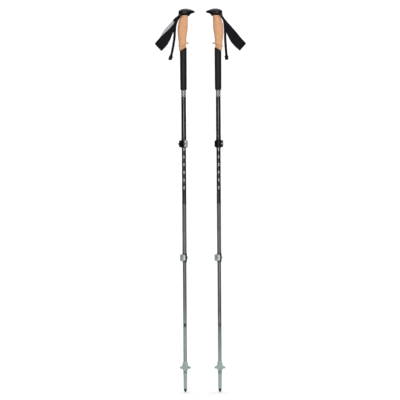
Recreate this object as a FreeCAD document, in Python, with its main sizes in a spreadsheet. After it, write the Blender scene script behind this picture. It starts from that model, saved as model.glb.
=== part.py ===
import FreeCAD, Part
import os
import re
import Sketcher

# A pair of three-section trekking poles, standing upright side by side on their tips.
# Each pole has a cork grip with a beaked head, a foam sleeve, a wrist strap with a hanging tail,
# three tubes that telescope, two cam-lever clamps, a basket, a ferrule and a hard tip.
# Frame: millimetres, origin on the ground midway between the two tips, +Z up along the poles.
# The beak of the left pole points to +X. The right pole is the same pole turned half round.

SIZES = {
    # whole pole
    "pole_spacing": 113,
    # tubes: heights are measured from the ground
    "upper_tube_r": 7.8,
    "upper_tube_bore_r": 6.95,
    "upper_tube_bottom": 801.8,
    "upper_tube_top": 1217,
    "middle_tube_r": 6.8,
    "middle_tube_bore_r": 6.05,
    "middle_tube_bottom": 430.1,
    "middle_tube_top": 916,
    "lower_tube_r": 5.9,
    "lower_tube_bore_r": 5.1,
    "lower_tube_bottom": 72,
    "lower_tube_top": 560,
    "tube_seat_r": 4.5,
    "slit_width": 1.2,
    "slit_height": 26,
    # plugs that guide the top end of the middle and the lower tube
    "plug_stem": 24,
    "plug_head": 8,
    "plug_play": 0.07,
    # clamps: u points to the ears, v along the tension screw, w is vertical
    "upper_clamp_height": 810.5,
    "lower_clamp_height": 438.8,
    "clamp_tall": 22,
    "tube_fit": 0.05,
    "slide_fit": 0.15,
    "collar_wall": 2.6,
    "collar_lip": 2.3,
    "neck_wall": 1.1,
    "neck_tall": 2,
    "nose_wall": 5.2,
    "nose_tall": 20,
    "nose_start": 186.5,
    "nose_span": 42,
    "ear_root": 6.6,
    "ear_reach": 6.4,
    "ear_rounding": 2.6,
    "ear_gap": 1.6,
    "inner_ear": 4.0,
    "upper_block": 12.5,
    "lower_block": 9.2,
    "boss_margin": 0.4,
    "boss_proud": 0.7,
    "boss_ring": 1.1,
    "boss_floor": 0.3,
    "screw_out": 3.4,
    "screw_r": 1.75,
    "screw_head_r": 3,
    "screw_head": 3.3,
    "screw_end": 1.8,
    "socket_r": 1.5,
    "socket_deep": 2,
    "barrel_out": 2.4,
    "barrel_r": 2.9,
    "hub_r": 5,
    "hub_offset": 0.4,
    "hub_relief_r": 5.7,
    "lever_tall": 21,
    "lever_gap": 0.5,
    "lever_wall": 2.4,
    "lever_start": 44,
    "lever_end": 184,
    "lever_tip_rounding": 6.6,
    "lever_window": 2.2,
    "lever_hole_at": 126,
    "lever_hole_r": 2.7,
    "left_upper_ears": 251,
    "right_upper_ears": 184,
    "left_lower_ears": 98,
    "right_lower_ears": 280,
    # tip
    "tip_r": 4.8,
    "tip_point_r": 1.6,
    "tip_cup": 0.8,
    "tip_out": 11,
    "tip_stem_r": 3,
    "tip_stem": 22,
    "ferrule_mouth_r": 5.3,
    "ferrule_land_r": 5.5,
    "ferrule_land_start": 12,
    "ferrule_land_end": 34,
    "ferrule_r": 6.4,
    "ferrule_shoulder": 66,
    "ferrule_groove_r": 5.7,
    "thread_r": 6.5,
    "thread_start": 70,
    "ferrule_top": 101,
    "ferrule_top_r": 6.2,
    # basket
    "basket_r": 17.8,
    "basket_bottom": 70.4,
    "basket_top": 98,
    "basket_rim_low": 77.4,
    "basket_rim_high": 82.4,
    "basket_rim_wall": 1.5,
    "basket_brim_rise": 1.4,
    "basket_cone_r": 10.8,
    "basket_cone_foot": 85.5,
    "basket_shoulder_r": 8.8,
    "basket_shoulder": 90.5,
    "basket_mouth_r": 7.2,
    "basket_hub_r": 8.4,
    "basket_foot_r": 7.3,
    # foam sleeve
    "foam_bottom": 986.5,
    "foam_bottom_r": 10.6,
    "foam_top_r": 11.1,
    "foam_rounding": 2.4,
    "foam_over": 1135,
    "joint_height": 1119.3,
    "joint_tilt": 30,
    # cork grip and its pinky rest
    "rest_x": 2,
    "rest_height": 1134.9,
    "rest_long": 17.4,
    "rest_wide": 14.4,
    "rest_thick": 2.6,
    "rest_tilt": 23.5,
    "cork_top": 1229,
    # head
    "dome_height": 1236,
    "dome_tall": 17,
    "dome_long": 45,
    "dome_wide": 15.6,
    "stem_r": 6.9,
    "stem_bottom": 1207,
    "head_pin_x": 2,
    "head_pin_height": 1239.3,
    "head_pin_r": 2.3,
    "head_pin_half": 15.2,
    # strap fork, pin and wedge in the back of the head
    "strap_pin_x": -11.8,
    "strap_pin_height": 1229,
    "strap_pin_r": 2,
    "strap_pin_half": 12.6,
    "fork_gap_half": 8.2,
    "fork_wall": 3.9,
    "fork_long": 7.8,
    "fork_tall": 11.5,
    "pocket_front": -3.9,
    "pocket_low": 1234,
    "pocket_high": 1243,
    "eye_pocket_front": -7,
    "eye_pocket_low": 1222,
    "wedge_long": 8,
    "wedge_half": 7.7,
    "wedge_low": 1235.2,
    "wedge_high": 1242.4,
    "wedge_rounding": 1,
    # wrist strap, in its own frame: along the strap, across the loop (Y) and over its width
    "strap_turn": 137.9,
    "eye_r": 4.3,
    "eye_half": 7.5,
    "strap_near_half": 4.2,
    "strap_far_r": 11.5,
    "strap_thick": 2.6,
    "strap_gap_start": 12,
    "strap_gap_half": 1.5,
    "strap_length": 122.2,
    "fold_blend": 0.998,
    "lining_thick": 0.9,
    "lining_start": 46,
    "lining_margin": 2,
    "lining_gap": 0.1,
    # tail of the strap
    "tail_half_wide": 4.2,
    "tail_half_thick": 1,
    "tail_end_half_wide": 6,
    "tail_end_half_thick": 2.1,
    "tail_end_long": 14,
}

# Cork grip: height, rear edge, front edge and half width of its oval sections.
CORK_SECTIONS = [
    (1108, -12.6, 7.8, 9.8),
    (1126, -12.8, 8.6, 10.4),
    (1143, -13.8, 10.2, 11.6),
    (1156, -15.4, 10.6, 12.6),
    (1172, -17.8, 13.0, 14.2),
    (1183, -18.3, 14.8, 15.2),
    (1195, -17.4, 15.7, 15.4),
    (1210, -15.2, 15.2, 14.6),
    (1222, -10.8, 15.8, 13.0),
    (1231, -7.2, 17.4, 12.0),
]

# Head: distance in front of the tube, underside, crown and half width of its oval sections.
HEAD_SECTIONS = [
    (-12.8, 1237.5, 1245.0, 8.4),
    (-10.0, 1227.0, 1247.3, 12.0),
    (-4.0, 1224.0, 1250.2, 14.4),
    (4.0, 1224.0, 1252.0, 15.0),
    (12.0, 1225.0, 1252.0, 14.6),
    (19.0, 1229.6, 1250.6, 13.0),
    (26.0, 1234.8, 1248.2, 10.8),
    (33.0, 1237.6, 1245.2, 8.0),
    (38.5, 1240.0, 1242.8, 4.2),
]

# Wrist strap: distance from the pin along the strap, and its two edges over its width.
STRAP_STATIONS = [
    (-3, -4.2, 2.6),
    (20, 1.3, 11.3),
    (34, 7.4, 17.5),
    (53, 9.8, 26.6),
    (79, 9.6, 38.8),
    (101, 10.7, 44.2),
    (122.2, 13.2, 44.6),
]

# Centre line of the hanging tail: distance behind the tube axis and height.
TAIL_LINES = {
    "left": [
        (20.0, 1214.2),
        (26.2, 1190.6),
        (27.8, 1153.6),
        (32.0, 1122.2),
        (36.8, 1097.0),
        (42.0, 1084.0),
    ],
    "right": [
        (20.0, 1214.2),
        (23.4, 1192.0),
        (24.0, 1172.0),
        (24.2, 1150.0),
        (26.0, 1122.0),
        (28.6, 1083.5),
    ],
}

PARTS_FOLDER = "parts"

# ---------------------------------------------------------------------------------------------
# The document and its sheet of sizes
# ---------------------------------------------------------------------------------------------

doc = FreeCAD.newDocument("TrekkingPoles")
sheet = doc.addObject("Spreadsheet::Sheet", "Dims")


def tabulate(name, columns, rows):
    """Name the entries of a table of sections, such as cork3_height, and add them to SIZES."""
    for number, row in enumerate(rows):
        for column, size in zip(columns, row):
            SIZES["%s%d_%s" % (name, number, column)] = size


def fill_sheet():
    """Write every size into the sheet as a plain number with its name as the alias."""
    for row, (name, size) in enumerate(SIZES.items(), start=1):
        cell = "A%d" % row
        sheet.set(cell, str(size))
        sheet.setAlias(cell, name)


tabulate("cork", ("height", "rear", "front", "half"), CORK_SECTIONS)
tabulate("head", ("ahead", "under", "crown", "half"), HEAD_SECTIONS)
tabulate("strap", ("along", "upper", "lower"), STRAP_STATIONS)
for side, line in TAIL_LINES.items():
    tabulate(side + "_tail", ("behind", "height"), line)
fill_sheet()
doc.recompute()

# ---------------------------------------------------------------------------------------------
# Helpers that build features from formulas of the sheet's names
# ---------------------------------------------------------------------------------------------

AXES = {"x": FreeCAD.Vector(1, 0, 0), "y": FreeCAD.Vector(0, 1, 0), "z": FreeCAD.Vector(0, 0, 1)}
subparts = []


def in_cells(formula):
    """Point every size named in a formula at its cell."""
    def cell(word):
        return "Dims." + word.group() if word.group() in SIZES else word.group()
    return re.sub(r"[A-Za-z_]\w*", cell, str(formula))


def bind(thing, sizes):
    for name, formula in sizes.items():
        thing.setExpression(name, in_cells(formula))


def put(thing, at, turn):
    """Place a feature at three formulas, turned about one axis by a formula, or by a rotation."""
    if isinstance(turn, FreeCAD.Rotation):
        thing.Placement = FreeCAD.Placement(FreeCAD.Vector(), turn)
    else:
        axis, angle = turn
        thing.Placement = FreeCAD.Placement(FreeCAD.Vector(), FreeCAD.Rotation(AXES[axis], 1))
        bind(thing, {".Placement.Rotation.Angle": angle})
    bind(thing, {".Placement.Base." + letter: formula for letter, formula in zip("xyz", at)})


def solid(kind, at=(0, 0, 0), turn=("z", 0), **sizes):
    """A Part primitive of the document."""
    thing = doc.addObject("Part::" + kind, kind)
    bind(thing, sizes)
    put(thing, at, turn)
    return thing


def fused(*pieces):
    thing = doc.addObject("Part::MultiFuse", "Fuse")
    thing.Shapes = list(pieces)
    return thing


def shared(first, second):
    thing = doc.addObject("Part::MultiCommon", "Common")
    thing.Shapes = [first, second]
    return thing


def less(base, *tools):
    """The base with every tool cut away."""
    thing = doc.addObject("Part::Cut", "Cut")
    thing.Base = base
    thing.Tool = tools[0] if len(tools) == 1 else fused(*tools)
    return thing


def node(thing, label, where):
    """Make a finished solid a sub-part: its name, its place and its place in the list."""
    thing.Label = label
    thing.Placement = where
    subparts.append(thing)
    return thing


def new_body(label, where):
    return node(doc.addObject("PartDesign::Body", "Body"), label, where)


def grow(body, kind, at=(0, 0, 0), turn=("z", 0), **sizes):
    feature = body.newObject("PartDesign::Additive" + kind, "Add" + kind)
    bind(feature, sizes)
    put(feature, at, turn)


def carve(body, kind, at=(0, 0, 0), turn=("z", 0), **sizes):
    feature = body.newObject("PartDesign::Subtractive" + kind, "Cut" + kind)
    bind(feature, sizes)
    put(feature, at, turn)


def draw(sketch, corners):
    """Fill a sketch with a closed outline whose corners are pairs of formulas."""
    count = len(corners)
    start = [FreeCAD.Vector(number, number * number, 0) for number in range(count)]
    lines = [Part.LineSegment(start[i], start[(i + 1) % count]) for i in range(count)]
    sketch.addGeometry(lines)
    joins = [Sketcher.Constraint("Coincident", i, 2, (i + 1) % count, 1) for i in range(count)]
    sketch.addConstraint(joins)
    for i, corner in enumerate(corners):
        for kind, first, formula in zip(("DistanceX", "DistanceY"), start[i][:2], corner):
            index = sketch.addConstraint(Sketcher.Constraint(kind, -1, 1, i, 1, first))
            sketch.setExpression("Constraints[%d]" % index, in_cells(formula))


def turned(label, outline, where):
    """A piece turned on a lathe: pairs of radius and height, revolved about the vertical axis."""
    body = new_body(label, where)
    sketch = body.newObject("Sketcher::SketchObject", "Profile")
    plane = [item for item in body.Origin.OriginFeatures if item.Role == "XZ_Plane"][0]
    sketch.AttachmentSupport = [(plane, "")]
    sketch.MapMode = "FlatFace"
    draw(sketch, outline)
    spin = body.newObject("PartDesign::Revolution", "Turn")
    spin.Profile = sketch
    spin.ReferenceAxis = (sketch, ["V_Axis"])
    spin.Angle = 360
    return body


def slab(corners, turn, half_thick):
    """A flat plate: an outline in the plane that the turn gives, thickened to both sides."""
    sketch = doc.addObject("Sketcher::SketchObject", "Outline")
    draw(sketch, corners)
    axis, angle = turn
    sketch.Placement = FreeCAD.Placement(FreeCAD.Vector(), FreeCAD.Rotation(AXES[axis], angle))
    plate = doc.addObject("Part::Extrusion", "Slab")
    plate.Base = sketch
    plate.DirMode = "Normal"
    plate.Solid = True
    plate.Symmetric = True
    bind(plate, {"LengthFwd": "2 * (%s)" % half_thick})
    return plate


def soften(body, radius, chosen):
    """Round the edges of a body that the test picks."""
    doc.recompute()
    base = body.Tip
    names = ["Edge%d" % (i + 1) for i, edge in enumerate(base.Shape.Edges) if chosen(edge)]
    rounding = body.newObject("PartDesign::Fillet", "Round")
    rounding.Base = (base, names)
    bind(rounding, {"Radius": radius})


def move(x=0, y=0, z=0):
    return FreeCAD.Placement(FreeCAD.Vector(x, y, z), FreeCAD.Rotation())


def spun(axis, angle):
    return FreeCAD.Placement(FreeCAD.Vector(), FreeCAD.Rotation(AXES[axis], angle))


# ---------------------------------------------------------------------------------------------
# Grip: head, cork, foam
# ---------------------------------------------------------------------------------------------


def oval(major, minor, at, turn=("z", 0)):
    return solid("Ellipse", at, turn, MajorRadius=major, MinorRadius=minor)


def lofted(ovals):
    thing = doc.addObject("Part::Loft", "Loft")
    thing.Sections = ovals
    thing.Solid = True
    return thing


def cork_grip(label, where):
    """The moulded cork grip: an oval loft with a slanting pinky rest, bored for the tube."""
    ovals = []
    for i in range(len(CORK_SECTIONS)):
        name = "cork%d_" % i
        middle = "(%sfront + %srear) / 2" % (name, name)
        half_long = "(%sfront - %srear) / 2" % (name, name)
        ovals.append(oval(half_long, name + "half", (middle, 0, name + "height")))
    rest = solid("Ellipsoid", ("rest_x", 0, "rest_height"), ("y", "-rest_tilt"),
                 Radius1="rest_thick", Radius2="rest_long", Radius3="rest_wide")
    tube_bore = solid("Cylinder", (0, 0, 1000), Radius="upper_tube_r + tube_fit",
                      Height="upper_tube_top - 1000")
    stem_bore = solid("Cylinder", (0, 0, "stem_bottom"), Radius="stem_r + tube_fit", Height=40)
    slant = solid("Cylinder", (0, 0, "joint_height"), ("y", "180 - joint_tilt"), Radius=60, Height=60)
    lid = solid("Box", (-40, -40, "cork_top"), Length=80, Width=80, Height=20)
    eye_notch = solid("Box", (-40, -40, "eye_pocket_low + 1.5"),
                      Length="40 + eye_pocket_front", Width=80, Height=20)
    body = fused(lofted(ovals), rest)
    return node(less(body, tube_bore, stem_bore, slant, lid, eye_notch), label, where)


def foam_sleeve(label, where):
    """The foam sleeve below the cork, cut to the same slant."""
    body = turned(label, [
        ("upper_tube_r", "foam_bottom"),
        ("foam_bottom_r", "foam_bottom"),
        ("foam_top_r", "joint_height - 30"),
        ("foam_top_r", "foam_over"),
        ("upper_tube_r", "foam_over"),
    ], where)
    rim = SIZES["foam_bottom_r"]
    bottom = SIZES["foam_bottom"]
    soften(body, "foam_rounding", lambda edge: is_circle(edge, rim, bottom))
    carve(body, "Cylinder", (0, 0, "joint_height"), ("y", "-joint_tilt"), Radius=60, Height=60)
    return body


def is_circle(edge, radius, height):
    """True for a level circular edge of this radius at this height."""
    circle = hasattr(edge.Curve, "Radius") and abs(edge.Curve.Radius - radius) < 0.01
    return circle and abs(edge.BoundBox.ZMax - height) < 0.01 and edge.BoundBox.ZLength < 0.01


def strap_pin_place():
    """Crosswise along Y, through the middle of the fork."""
    return move(SIZES["strap_pin_x"], 0, SIZES["strap_pin_height"]) * spun("x", -90)


def cross_bore(x, height, radius, half):
    return solid("Cylinder", (x, "-(%s)" % half, height), ("x", -90),
                 Radius=radius, Height="2 * (%s)" % half)


def grip_head(label, where):
    """The beaked head with its stem in the tube, its strap fork and the wedge pocket."""
    sections = ["head%d_" % i for i in range(len(HEAD_SECTIONS))]
    crown = [(name + "ahead", name + "crown") for name in sections]
    under = [(name + "ahead", name + "under") for name in reversed(sections)]
    side = slab(crown + under, ("x", 90), 30)
    near = [(name + "ahead", "-%shalf" % name) for name in sections]
    far = [(name + "ahead", name + "half") for name in reversed(sections)]
    plan = slab(near + far, ("z", 0), "head3_crown + 10")
    dome = solid("Ellipsoid", (0, 0, "dome_height"),
                 Radius1="dome_tall", Radius2="dome_long", Radius3="dome_wide")
    flat = solid("Box", (-40, -40, "cork_top - 40"), Length=100, Width=80, Height=40)
    stem = solid("Cylinder", (0, 0, "stem_bottom"), Radius="stem_r", Height="cork_top - stem_bottom + 2")
    fork = [
        solid("Box", ("strap_pin_x - fork_long / 2", y, "strap_pin_height - 4.6"),
              Length="fork_long", Width="fork_wall + 1", Height="fork_tall")
        for y in ("fork_gap_half - 1", "-fork_gap_half - fork_wall")
    ]
    wedge_pocket = solid("Box", (-40, "-fork_gap_half", "pocket_low - 1"), Length="40 + pocket_front",
                         Width="2 * fork_gap_half", Height="pocket_high - pocket_low + 1")
    eye_pocket = solid("Box", (-40, "-fork_gap_half", "eye_pocket_low"), Length="40 + eye_pocket_front",
                       Width="2 * fork_gap_half", Height="pocket_low - eye_pocket_low")
    head_bore = cross_bore("head_pin_x", "head_pin_height", "head_pin_r", "head_pin_half + 5")
    pin_bore = cross_bore("strap_pin_x", "strap_pin_height", "strap_pin_r", "strap_pin_half + 5")
    body = fused(less(shared(shared(side, plan), dome), flat), stem, *fork)
    body = less(body, wedge_pocket, eye_pocket)
    return node(less(body, head_bore, pin_bore), label, where)


def cross_pin(label, radius, half, where):
    """A plain steel pin with chamfered ends, lying along its own axis."""
    return turned(label, [
        (0, "-(%s)" % half),
        ("%s - 0.5" % radius, "-(%s)" % half),
        (radius, "-(%s) + 0.5" % half),
        (radius, "%s - 0.5" % half),
        ("%s - 0.5" % radius, half),
        (0, half),
    ], where)


def strap_wedge(label, where):
    body = new_body(label, where)
    grow(body, "Box", ("pocket_front - 0.3 - wedge_long", "-wedge_half", "wedge_low"),
         Length="wedge_long", Width="2 * wedge_half", Height="wedge_high - wedge_low")
    soften(body, "wedge_rounding", lambda edge: edge.BoundBox.YLength > 2)
    return body


# ---------------------------------------------------------------------------------------------
# Wrist strap
# ---------------------------------------------------------------------------------------------


def strap_plan(start, near_half, far_r):
    """The plan of the open loop seen along its width: a taper that ends in a round fold."""
    centre = "strap_length - strap_far_r"
    taper = slab([
        (start, "-(%s)" % near_half),
        (centre, "-(%s) * fold_blend" % far_r),
        (centre, "(%s) * fold_blend" % far_r),
        (start, near_half),
    ], ("z", 0), 60)
    fold = solid("Cylinder", (centre, 0, -60), Radius=far_r, Height=120)
    return fused(taper, fold)


def strap_face(margin, first):
    """The strap seen flat, from its station numbered first to the fold."""
    stations = ["strap%d_" % i for i in range(first, len(STRAP_STATIONS))]
    upper = [(name + "along", name + "upper + %s" % margin) for name in stations]
    lower = [(name + "along", name + "lower - %s" % margin) for name in reversed(stations)]
    return slab(upper + lower, ("x", 90), "strap_far_r + 5")


def strap_loop(label, where):
    """The webbing loop: an eye round the pin, and two layers that part and meet in a fold."""
    shape = shared(strap_plan(0, "strap_near_half", "strap_far_r"), strap_face(0, 0))
    gap = strap_plan("strap_gap_start", "strap_gap_half", "strap_far_r - strap_thick")
    eye = solid("Cylinder", (0, "-eye_half", 0), ("x", -90), Radius="eye_r", Height="2 * eye_half")
    bore = solid("Cylinder", (0, -30, 0), ("x", -90), Radius="strap_pin_r + tube_fit", Height=60)
    return node(less(fused(less(shape, gap), eye), bore), label, where)


def strap_lining(label, where):
    """The soft lining inside the wide part of the loop."""
    far_r = "strap_far_r - strap_thick - lining_gap"
    rise = "(strap_far_r - strap_thick - strap_gap_half) / (strap_length - strap_far_r - strap_gap_start)"
    outer_half = "strap_gap_half - lining_gap + %s * (lining_start - strap_gap_start)" % rise
    outer = strap_plan("lining_start", outer_half, far_r)
    inner = strap_plan("lining_start - 5", "%s - 5 * %s - lining_thick" % (outer_half, rise),
                       far_r + " - lining_thick")
    return node(less(shared(outer, strap_face("lining_margin", 2)), inner), label, where)


def strap_tail(label, side, where):
    """The narrow end of the webbing that hangs from the head, with its folded, sewn end."""
    count = len(TAIL_LINES[side])
    left_edge = []
    right_edge = []
    for i, (behind, height) in enumerate(TAIL_LINES[side]):
        before = TAIL_LINES[side][max(i - 1, 0)]
        after = TAIL_LINES[side][min(i + 1, count - 1)]
        along = FreeCAD.Vector(before[0] - after[0], after[1] - before[1], 0).normalize()
        name = "%s_tail%d_" % (side, i)
        for edge, sign in ((left_edge, "-"), (right_edge, "+")):
            edge.append(("-%sbehind %s tail_half_wide * %.4f" % (name, sign, -along.y),
                         "%sheight %s tail_half_wide * %.4f" % (name, sign, along.x)))
    ribbon = slab(left_edge + right_edge[::-1], ("x", 90), "tail_half_thick")
    last = TAIL_LINES[side][-1]
    before = TAIL_LINES[side][-2]
    lean = FreeCAD.Vector(before[0] - last[0], last[1] - before[1], 0)
    end = doc.addObject("Part::Box", "SewnEnd")
    bind(end, {
        "Length": "2 * tail_end_half_wide",
        "Width": "2 * tail_end_half_thick",
        "Height": "tail_end_long",
    })
    tilt = lean.getAngle(FreeCAD.Vector(0, -1, 0)) * 57.29578
    end.Placement = (move(-last[0], 0, last[1]) * spun("y", tilt)
                     * move(-SIZES["tail_end_half_wide"], -SIZES["tail_end_half_thick"], 0))
    return node(fused(ribbon, end), label, where)


# ---------------------------------------------------------------------------------------------
# Tubes and plugs
# ---------------------------------------------------------------------------------------------


def tube(label, name, where, slit):
    """A carbon tube; the two outer tubes are slit at the bottom so that the clamp can close them."""
    body = turned(label, [
        (name + "_bore_r", name + "_bottom"),
        (name + "_r", name + "_bottom"),
        (name + "_r", name + "_top"),
        (name + "_bore_r", name + "_top"),
    ], where)
    if slit:
        foot = name + "_bottom - 1"
        for angle, corner in ((0, (0, "-slit_width / 2", foot)), (90, ("slit_width / 2", 0, foot))):
            carve(body, "Box", corner, ("z", angle),
                  Length=20, Width="slit_width", Height="slit_height + 1")
    return body


def tube_plug(label, name, outer, where):
    """The plug in the top of a tube, whose head runs in the tube around it."""
    return turned(label, [
        (0, name + "_top - plug_stem"),
        (name + "_bore_r", name + "_top - plug_stem"),
        (name + "_bore_r", name + "_top"),
        (outer + "_bore_r - plug_play", name + "_top"),
        (outer + "_bore_r - plug_play", name + "_top + plug_head - 1"),
        (outer + "_bore_r - plug_play - 1", name + "_top + plug_head"),
        (0, name + "_top + plug_head"),
    ], where)


# ---------------------------------------------------------------------------------------------
# Clamps
# ---------------------------------------------------------------------------------------------


def clamp_collar(label, outer, inner, block, where):
    """The split collar: ring, necks, the nose behind the lever's tip, and the two ears."""
    body = new_body(label, where)
    grow(body, "Cylinder", (0, 0, "-clamp_tall / 2"), Radius=outer + " + collar_wall", Height="clamp_tall")
    grow(body, "Cylinder", (0, 0, "-nose_tall / 2"), ("z", "nose_start"),
         Radius=outer + " + nose_wall", Height="nose_tall", Angle="nose_span")
    grow(body, "Box", ("ear_root", "-" + block, "-clamp_tall / 2"), Height="clamp_tall",
         Length=outer + " + ear_reach - ear_root", Width=block + " + inner_ear")
    face = SIZES[outer] + SIZES["ear_reach"]
    soften(body, "ear_rounding", lambda edge: is_upright(edge, face) or is_side(edge, -SIZES[block]))
    boss = (outer + " + ear_reach - 1", "-(%s + ear_gap / 2) / 2" % block, 0)
    boss_r = "(%s - ear_gap / 2) / 2 - boss_margin" % block
    grow(body, "Cylinder", boss, ("y", 90), Radius=boss_r, Height="1 + boss_proud")
    dish = (outer + " + ear_reach - boss_floor", boss[1], 0)
    carve(body, "Cylinder", dish, ("y", 90), Radius=boss_r + " - boss_ring", Height="1 + boss_proud")
    grow(body, "Cylinder", (0, 0, "-clamp_tall / 2 - neck_tall"),
         Radius=outer + " + neck_wall", Height="clamp_tall + 2 * neck_tall")
    carve(body, "Cylinder", (0, 0, "-clamp_tall / 2 + collar_lip"), Radius=outer + " + tube_fit", Height=60)
    carve(body, "Cylinder", (0, 0, -40), Radius=inner + " + slide_fit", Height=80)
    carve(body, "Cylinder", (outer + " + screw_out", outer + " + barrel_out", -40),
          Radius="hub_relief_r", Height=80)
    carve(body, "Box", (0, "-ear_gap / 2", -40), Length=40, Width="ear_gap", Height=80)
    carve(body, "Cylinder", (outer + " + screw_out", -40, 0), ("x", -90),
          Radius="screw_r + tube_fit", Height=80)
    return body


def is_upright(edge, x):
    """True for a vertical straight edge at this distance along u."""
    box = edge.BoundBox
    return box.ZLength > 5 and box.XLength < 0.01 and box.YLength < 0.01 and abs(box.XMax - x) < 0.01


def is_side(edge, y):
    """True for a straight edge along u or w in the end face of the ear block."""
    box = edge.BoundBox
    return box.YLength < 0.01 and abs(box.YMax - y) < 0.01 and box.ZLength < 0.01


def clamp_lever(label, outer, where):
    """The cam lever: a hub round the barrel, and a band that wraps the collar to a round tip."""
    inside = outer + " + collar_wall + lever_gap"
    hub = (outer + " + screw_out", outer + " + barrel_out")
    low = "-lever_tall / 2"
    body = new_body(label, where)
    grow(body, "Cylinder", (0, 0, low), ("z", "lever_start"), Radius=inside + " + lever_wall",
         Height="lever_tall", Angle="lever_end - lever_start")
    carve(body, "Cylinder", (0, 0, -40), Radius=inside, Height=80)
    soften(body, "lever_tip_rounding", is_tip_corner)
    grow(body, "Cylinder", (hub[0], hub[1] + " - hub_offset", low), Radius="hub_r", Height="lever_tall")
    carve(body, "Cylinder", (hub[0], hub[1], -40), Radius="barrel_r + tube_fit", Height=80)
    carve(body, "Cylinder", (hub[0], hub[1], "-lever_window"), ("z", 225),
          Radius=9, Height="2 * lever_window", Angle=240)
    outward = spun("z", SIZES["lever_hole_at"]).Rotation * spun("y", 90).Rotation
    carve(body, "Cylinder", (0, 0, 0), outward, Radius="lever_hole_r", Height=40)
    return body


def is_tip_corner(edge):
    """True for the two short radial edges at the lever's free end."""
    box = edge.BoundBox
    flat = box.ZLength < 0.01 and abs(abs(box.ZMax) - SIZES["lever_tall"] / 2) < 0.01
    return flat and box.XMax < 0 and box.DiagonalLength < SIZES["lever_wall"] + 0.1


def clamp_barrel(label, outer, where):
    """The barrel nut: the lever's pivot, tapped crosswise for the tension screw."""
    body = new_body(label, where)
    hub = (outer + " + screw_out", outer + " + barrel_out")
    grow(body, "Cylinder", (hub[0], hub[1], "-lever_tall / 2"), Radius="barrel_r", Height="lever_tall")
    carve(body, "Cylinder", (hub[0], 0, 0), ("x", -90), Radius="screw_r + tube_fit", Height=40)
    return body


def tension_screw(label, outer, block, where):
    """The tension screw: a button head with a hexagon socket, and its shank in the barrel."""
    axis = where * move(SIZES[outer] + SIZES["screw_out"], -SIZES[block], 0) * spun("x", -90)
    body = turned(label, [
        (0, "-screw_head"),
        ("screw_head_r * 0.72", "-screw_head"),
        ("screw_head_r", "-screw_head * 0.45"),
        ("screw_head_r", 0),
        ("screw_r", 0),
        ("screw_r", "%s + %s + barrel_out + screw_end" % (block, outer)),
        (0, "%s + %s + barrel_out + screw_end" % (block, outer)),
    ], axis)
    carve(body, "Prism", (0, 0, "-screw_head"), Polygon=6, Circumradius="socket_r", Height="socket_deep")
    return body


# ---------------------------------------------------------------------------------------------
# Foot: basket, ferrule, tip
# ---------------------------------------------------------------------------------------------


def basket(label, where):
    """A small trekking basket: a cone that spreads into a drooping rim, threaded on the ferrule."""
    bore = "thread_r + tube_fit"
    return turned(label, [
        (bore, "basket_bottom"),
        ("basket_foot_r", "basket_bottom"),
        ("basket_hub_r", "basket_bottom + 4"),
        ("basket_hub_r + 0.6", "basket_rim_high - basket_rim_wall"),
        ("basket_r - basket_rim_wall", "basket_rim_high - basket_rim_wall"),
        ("basket_r - basket_rim_wall", "basket_rim_low"),
        ("basket_r", "basket_rim_low"),
        ("basket_r", "basket_rim_high"),
        ("(basket_r + basket_cone_r) / 2", "basket_rim_high + basket_brim_rise"),
        ("basket_cone_r", "basket_cone_foot"),
        ("basket_shoulder_r", "basket_shoulder"),
        ("basket_mouth_r + 0.9", "basket_top - 1.2"),
        ("basket_mouth_r", "basket_top"),
        (bore, "basket_top"),
    ], where)


def ferrule(label, where):
    """The tapered ferrule: a seat for the tip, a socket for the tube and a land for the basket."""
    return turned(label, [
        ("tip_stem_r", "tip_out"),
        ("ferrule_mouth_r", "tip_out"),
        ("ferrule_land_r", "ferrule_land_start"),
        ("ferrule_land_r", "ferrule_land_end"),
        ("ferrule_r", "ferrule_shoulder"),
        ("ferrule_groove_r", "ferrule_shoulder + 0.6"),
        ("ferrule_groove_r", "thread_start - 0.6"),
        ("thread_r", "thread_start"),
        ("thread_r", "ferrule_top - 1.5"),
        ("ferrule_top_r", "ferrule_top"),
        ("lower_tube_r", "ferrule_top"),
        ("lower_tube_r", "lower_tube_bottom"),
        ("tube_seat_r", "lower_tube_bottom"),
        ("tip_stem_r", "tip_out + tip_stem"),
    ], where)


def hard_tip(label, where):
    """The carbide tip: a stem in the ferrule and a tapered, cupped point."""
    return turned(label, [
        (0, "tip_cup"),
        ("tip_point_r", 0),
        ("tip_point_r + 0.7", "tip_cup"),
        ("tip_r", "tip_out - 2.2"),
        ("tip_r", "tip_out"),
        ("tip_stem_r", "tip_out"),
        ("tip_stem_r", "tip_out + tip_stem"),
        (0, "tip_out + tip_stem"),
    ], where)


# ---------------------------------------------------------------------------------------------
# The two poles
# ---------------------------------------------------------------------------------------------


def clamp(side, which, outer, inner, pole):
    place = pole * move(0, 0, SIZES[which + "_clamp_height"])
    place = place * spun("z", SIZES["%s_%s_ears" % (side, which)])
    prefix = "%s_%s_clamp_" % (side, which)
    block = which + "_block"
    clamp_collar(prefix + "collar", outer, inner, block, place)
    clamp_lever(prefix + "lever", outer, place)
    clamp_barrel(prefix + "barrel", outer, place)
    tension_screw(prefix + "screw", outer, block, place)


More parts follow.
